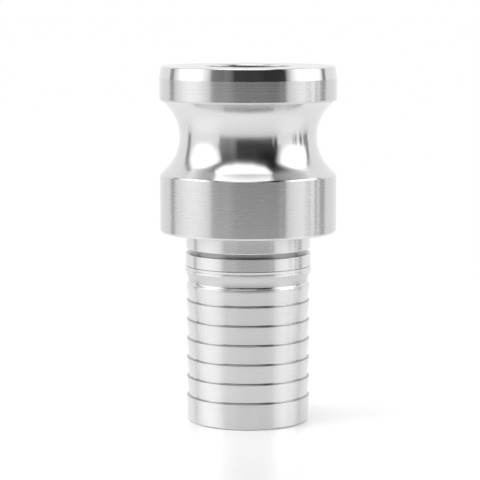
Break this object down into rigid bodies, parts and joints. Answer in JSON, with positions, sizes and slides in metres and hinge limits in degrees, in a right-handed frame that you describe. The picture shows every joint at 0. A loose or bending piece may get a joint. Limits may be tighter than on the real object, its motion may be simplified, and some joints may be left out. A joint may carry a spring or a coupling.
{
  "type": "cam and groove coupling",
  "caption": "Male half of a cam and groove coupling, turned from stainless steel in one piece, with a flat sealing face, a round cam groove, a through bore and a barbed hose shank.",
  "frame": {"origin": "centre of the end face of the hose shank, on the turning axis, where the adapter stands", "axes": "+Z along the turning axis from the hose end up to the sealing face; X and Y are alike, because the part is turned all round"},
  "size_m": [0.0366, 0.0366, 0.074],
  "materials": {
    "stainless_steel": "bright turned stainless steel with fine turning lines, polished in the cam groove and on the tapered lead of the rim"
  },
  "bodies": {
    "root": {"adapter": "stainless_steel"}
  },
  "joints": []
}
